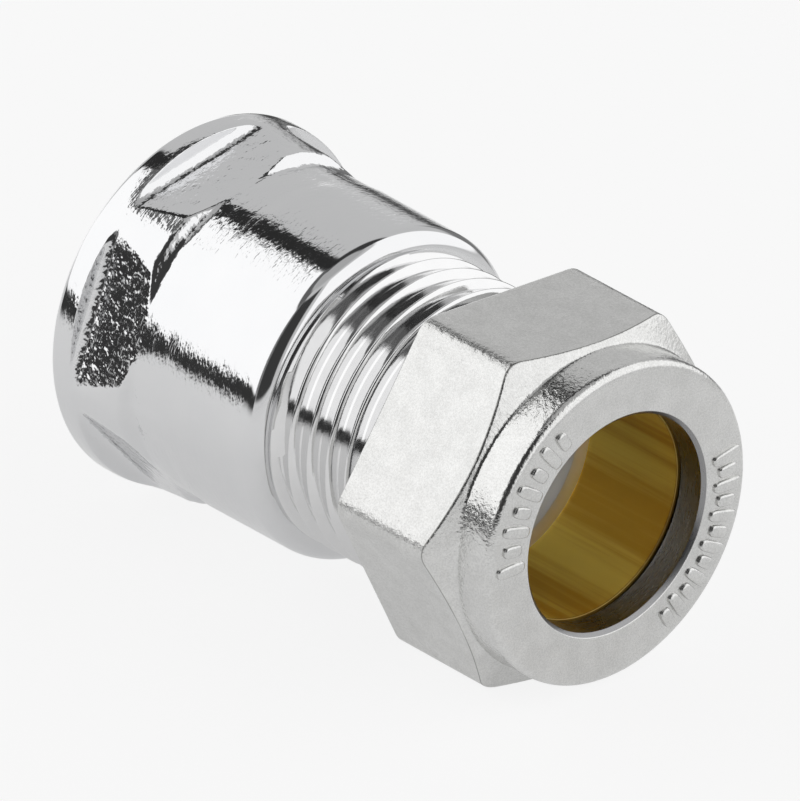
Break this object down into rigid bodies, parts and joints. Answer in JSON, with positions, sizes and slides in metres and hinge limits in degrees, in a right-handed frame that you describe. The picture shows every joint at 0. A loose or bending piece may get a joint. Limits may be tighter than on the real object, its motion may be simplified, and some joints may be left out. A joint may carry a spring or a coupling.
{
  "type": "compression straight connector",
  "caption": "Straight pipe connector with a threaded female end, a spanner hexagon, a male thread, and a hexagon nut over a loose compression ring.",
  "frame": {"origin": "on the pipe axis, at the outer rim of the female threaded end", "axes": "+X along the pipe axis from the female end to the nut, +Z out of the nut's top flat, +Y to the left looking along +X"},
  "size_m": [0.0414, 0.027, 0.0262],
  "materials": {
    "polished_plate": "mirror chrome plate over forged brass",
    "bare_brass": "bare turned brass",
    "satin_plate": "satin chrome plate over blasted brass"
  },
  "bodies": {
    "connector": {"connector_body": "polished_plate"},
    "ring": {"olive": "bare_brass"},
    "nut": {"compression_nut": "satin_plate"}
  },
  "joints": [
    {"name": "nut_travel", "type": "slide", "parent": "connector", "child": "ring", "axis": [1, 0, 0], "range_m": [0, 0.00544]},
    {"name": "nut_turn", "type": "hinge", "parent": "ring", "child": "nut", "pos_m": [0.035, 0, 0], "axis": [1, 0, 0], "range_deg": [-0.5, 1080.51]}
  ],
  "couplings": [
    {"joint": "nut_turn", "follows": "nut_travel", "rad_per_m": 3463.2}
  ]
}
